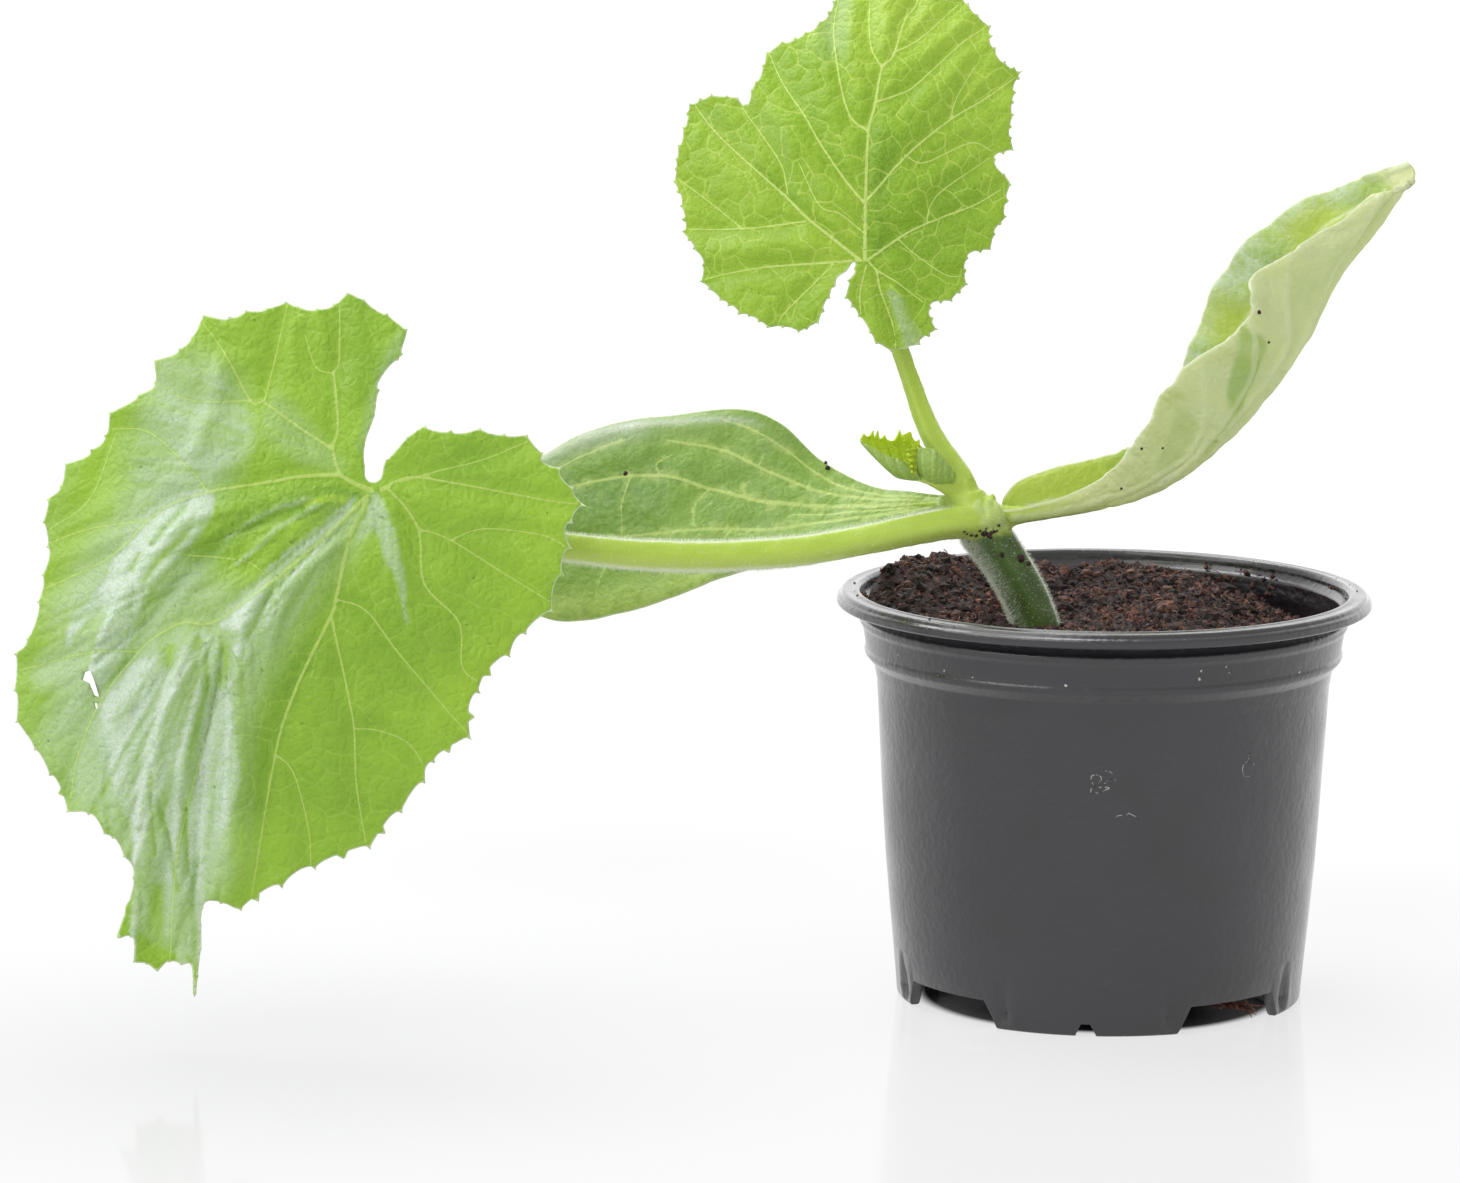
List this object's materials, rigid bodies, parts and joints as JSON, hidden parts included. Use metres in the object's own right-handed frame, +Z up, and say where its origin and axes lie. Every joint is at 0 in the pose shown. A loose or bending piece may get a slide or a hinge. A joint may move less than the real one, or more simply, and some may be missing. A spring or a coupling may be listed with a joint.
{
  "type": "potted zucchini plant",
  "caption": "Young zucchini plant with broad toothed leaves and long seed leaves, growing in soil in a round black plastic nursery pot with notched feet.",
  "frame": {"origin": "on the ground under the middle of the whole plant's box; the pot's axis stands 86.8 mm to the right of it", "axes": "+X from the hanging leaf towards the pot, +Y away from the front, +Z up"},
  "size_m": [0.3106, 0.12, 0.2409],
  "materials": {
    "black_plastic": "satin",
    "potting_soil": "matte",
    "stem_green": "satin",
    "stalk_green": "satin",
    "leaf_green": "satin",
    "seed_leaf_green": "satin",
    "root_brown": "matte"
  },
  "bodies": {
    "root": {"pot": "black_plastic", "soil": "potting_soil", "stem": "stem_green", "left_leaf": "leaf_green", "left_leaf_stalk": "stalk_green", "top_leaf": "leaf_green", "top_leaf_stalk": "stalk_green", "left_seed_leaf": "seed_leaf_green", "right_seed_leaf": "seed_leaf_green", "young_leaf": "leaf_green", "young_leaf_stalk": "stalk_green", "side_bud": "stalk_green", "root_tuft": "root_brown"}
  },
  "joints": []
}
